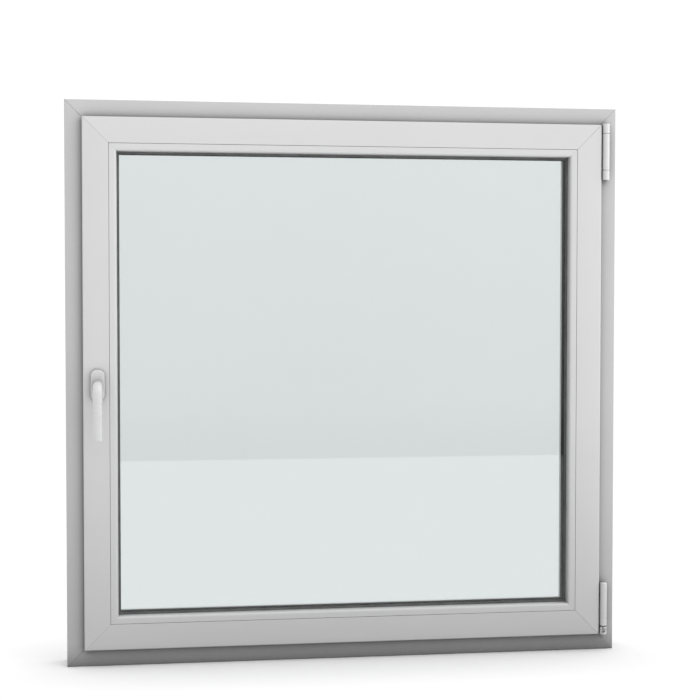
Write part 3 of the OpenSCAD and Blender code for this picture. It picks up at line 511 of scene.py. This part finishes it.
def pale_floor():
    """White floor to look at, and a darker one under it that only soft light bounces off."""
    white, nodes, links, shader = floor_sheet("floor", FLOOR_NEAR, FLOOR_FAR, FLOOR_SIDE, 0,
                                              FLOOR_SHADE, FLOOR_GLOW)
    white.visible_diffuse = False
    # Away from the window's foot the floor is as bright as the backdrop, so no horizon shows
    place = nodes.new("ShaderNodeTexCoord")
    mirrored, outside, clip, reach = (nodes.new("ShaderNodeVectorMath") for _ in range(4))
    mirrored.operation = "ABSOLUTE"
    outside.operation = "SUBTRACT"
    outside.inputs[1].default_value = FOOTPRINT
    clip.operation = "MAXIMUM"
    clip.inputs[1].default_value = (0, 0, 0)
    reach.operation = "LENGTH"
    fade = nodes.new("ShaderNodeMapRange")
    fade.interpolation_type = "SMOOTHSTEP"
    fade.inputs["From Min"].default_value = 0
    fade.inputs["From Max"].default_value = FLOOR_FADE
    backdrop = nodes.new("ShaderNodeEmission")
    backdrop.inputs["Strength"].default_value = SKY_BEHIND
    mix = nodes.new("ShaderNodeMixShader")
    links.new(place.outputs["Object"], mirrored.inputs[0])
    links.new(mirrored.outputs["Vector"], outside.inputs[0])
    links.new(outside.outputs["Vector"], clip.inputs[0])
    links.new(clip.outputs["Vector"], reach.inputs[0])
    links.new(reach.outputs["Value"], fade.inputs["Value"])
    links.new(fade.outputs["Result"], mix.inputs["Fac"])
    links.new(shader.outputs["BSDF"], mix.inputs[1])
    links.new(backdrop.outputs["Emission"], mix.inputs[2])
    links.new(mix.outputs["Shader"], nodes["Material Output"].inputs["Surface"])
    bounce = floor_sheet("floor_bounce", -0.8, 0.8, 1.0, -0.001, FLOOR_BOUNCE, 0)[0]
    bounce.visible_camera = False
    bounce.visible_glossy = False
    bounce.visible_transmission = False


def ramp(nodes, links, source, stops):
    """Piecewise straight value of the source, from (place, value) pairs with places from -1 to 1."""
    node = nodes.new("ShaderNodeFloatCurve")
    node.inputs["Factor"].default_value = 1
    curve = node.mapping.curves[0]
    node.mapping.extend = "HORIZONTAL"
    places = [((place + 1) / 2, value) for place, value in stops]
    curve.points[0].location = places[0]
    curve.points[-1].location = places[-1]
    for place in places[1:-1]:
        curve.points.new(*place)
    for point in curve.points:
        point.handle_type = "VECTOR"
    node.mapping.update()
    shift = nodes.new("ShaderNodeMapRange")
    shift.inputs["From Min"].default_value = -1
    shift.inputs["From Max"].default_value = 1
    links.new(source, shift.inputs["Value"])
    links.new(shift.outputs["Result"], node.inputs["Value"])
    return node.outputs["Value"]


def studio_sky():
    """White behind the window. In front it's greyer low down and straight ahead, and brighter at the right."""
    world = bpy.data.worlds.new("studio")
    scene.world = world
    world.use_nodes = True
    nodes, links = world.node_tree.nodes, world.node_tree.links
    background = nodes["Background"]
    place = nodes.new("ShaderNodeTexCoord")
    axes = nodes.new("ShaderNodeSeparateXYZ")
    links.new(place.outputs["Generated"], axes.inputs["Vector"])
    front = ramp(nodes, links, axes.outputs["Z"], SKY_FRONT)
    behind = nodes.new("ShaderNodeMapRange")
    behind.inputs["From Min"].default_value = -0.15
    behind.inputs["From Max"].default_value = 0.25
    links.new(axes.outputs["Y"], behind.inputs["Value"])
    rim = ramp(nodes, links, axes.outputs["Y"], SKY_RIM)
    aside = ramp(nodes, links, axes.outputs["X"], SKY_ASIDE)
    for factor in (rim, aside):
        product = nodes.new("ShaderNodeMath")
        product.operation = "MULTIPLY"
        links.new(front, product.inputs[0])
        links.new(factor, product.inputs[1])
        front = product.outputs["Value"]
    mix = nodes.new("ShaderNodeMix")
    mix.data_type = "FLOAT"
    mix.inputs["B"].default_value = SKY_BEHIND
    links.new(behind.outputs["Result"], mix.inputs["Factor"])
    links.new(front, mix.inputs["A"])
    links.new(mix.outputs["Result"], background.inputs["Strength"])
    background.inputs["Color"].default_value = (1, 1, 1, 1)


# Fitted to the corners of the frame, sash and glass in the photo. Yaw, pitch and roll in degrees.
CAMERA_PLACE = (-0.4958, -3.3631, 0.7908)
CAMERA_TURN = (8.581, -2.045, 0.03)


def place_camera():
    """Camera to the left of the window's middle, looking a little right and down."""
    yaw, pitch, roll = (math.radians(a) for a in CAMERA_TURN)
    forward = Vector((math.sin(yaw) * math.cos(pitch), math.cos(yaw) * math.cos(pitch), math.sin(pitch)))
    right = Vector((math.cos(yaw), -math.sin(yaw), 0))
    up = right.cross(forward)
    turn = Matrix((right, up, -forward)).transposed()
    camera_data = bpy.data.cameras.new("camera")
    camera_data.sensor_width = 36
    camera_data.lens = 80
    camera = bpy.data.objects.new("camera", camera_data)
    turn = turn @ Matrix.Rotation(roll, 3, "Z")
    camera.matrix_world = Matrix.Translation(CAMERA_PLACE) @ turn.to_4x4()
    scene.collection.objects.link(camera)
    scene.camera = camera


pale_floor()
studio_sky()
place_camera()
scene.view_settings.view_transform = "Standard"
